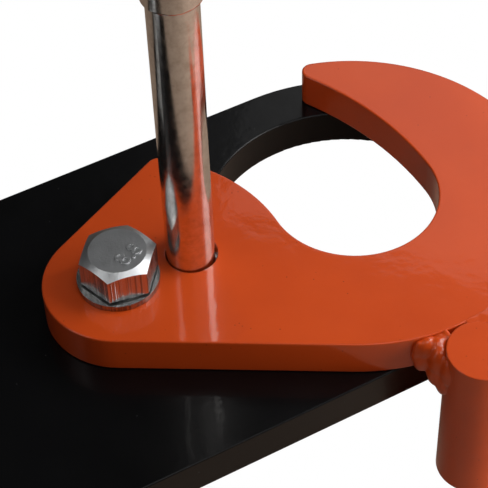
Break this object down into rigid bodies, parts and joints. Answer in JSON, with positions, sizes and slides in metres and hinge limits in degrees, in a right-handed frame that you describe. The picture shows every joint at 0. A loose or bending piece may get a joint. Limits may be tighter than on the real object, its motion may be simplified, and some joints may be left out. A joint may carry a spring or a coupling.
{
  "type": "hook-jaw lifting clamp",
  "caption": "Lifting clamp: black carrier plate with a load eye, orange swing jaw with a curved neck slot, chrome lock pin and bow shackle.",
  "frame": {"origin": "centre of the load eye at the carrier plate's underside", "axes": "+X from the shackle end to the nose, +Z from the carrier plate to the jaw"},
  "size_m": [0.275, 0.1217, 0.1866],
  "materials": {
    "carrier_coat": "black powder coat, semi-gloss",
    "jaw_coat": "orange powder coat, glossy",
    "zinc": "bright zinc plate",
    "bronze": "sintered bronze",
    "nylon": "nylon",
    "pin_chrome": "chrome plate, polished",
    "spring_steel": "spring steel",
    "cap_plastic": "moulded phenolic",
    "shackle_steel": "hot-dip galvanised",
    "tag_steel": "brushed stainless"
  },
  "bodies": {
    "carrier": {"carrier_plate": "carrier_coat", "pivot_bolt": "zinc", "pivot_top_washer": "zinc", "pivot_bush": "bronze", "pivot_bottom_washer": "zinc", "pivot_lock_nut": "zinc", "lock_nut_insert": "nylon", "rating_plate": "tag_steel", "rating_plate_rivets": "zinc"},
    "jaw": {"swing_jaw": "jaw_coat", "stop_peg": "jaw_coat", "stop_peg_weld": "jaw_coat", "detent_ball": "spring_steel", "detent_spring": "spring_steel", "detent_grub_screw": "spring_steel"},
    "lock_pin": {"lock_pin_shank": "pin_chrome", "lock_pin_sleeve": "pin_chrome", "sleeve_roll_pin": "spring_steel"},
    "tee": {"tee_bar": "pin_chrome", "tee_bar_caps": "cap_plastic"},
    "shackle": {"shackle_bow": "shackle_steel", "shackle_bolt": "shackle_steel", "shackle_nut": "zinc", "shackle_cotter": "zinc", "shackle_spacers": "zinc"}
  },
  "joints": [
    {"name": "jaw_swing", "type": "hinge", "parent": "carrier", "child": "jaw", "pos_m": [-0.0652, 0.00026, 0.0156], "axis": [0, 0, 1], "range_deg": [-60, 2.6]},
    {"name": "lock_pin_slide", "type": "slide", "parent": "jaw", "child": "lock_pin", "axis": [0, 0, 1], "range_m": [-0.0105, 0]},
    {"name": "tee_bar_slide", "type": "slide", "parent": "lock_pin", "child": "tee", "axis": [0.9986, -0.0523, 0], "range_m": [-0.012, 0.012]},
    {"name": "shackle_swing", "type": "hinge", "parent": "carrier", "child": "shackle", "pos_m": [-0.1552, 0, 0.00515], "axis": [0, 0, 1], "range_deg": [-80, 80]}
  ]
}
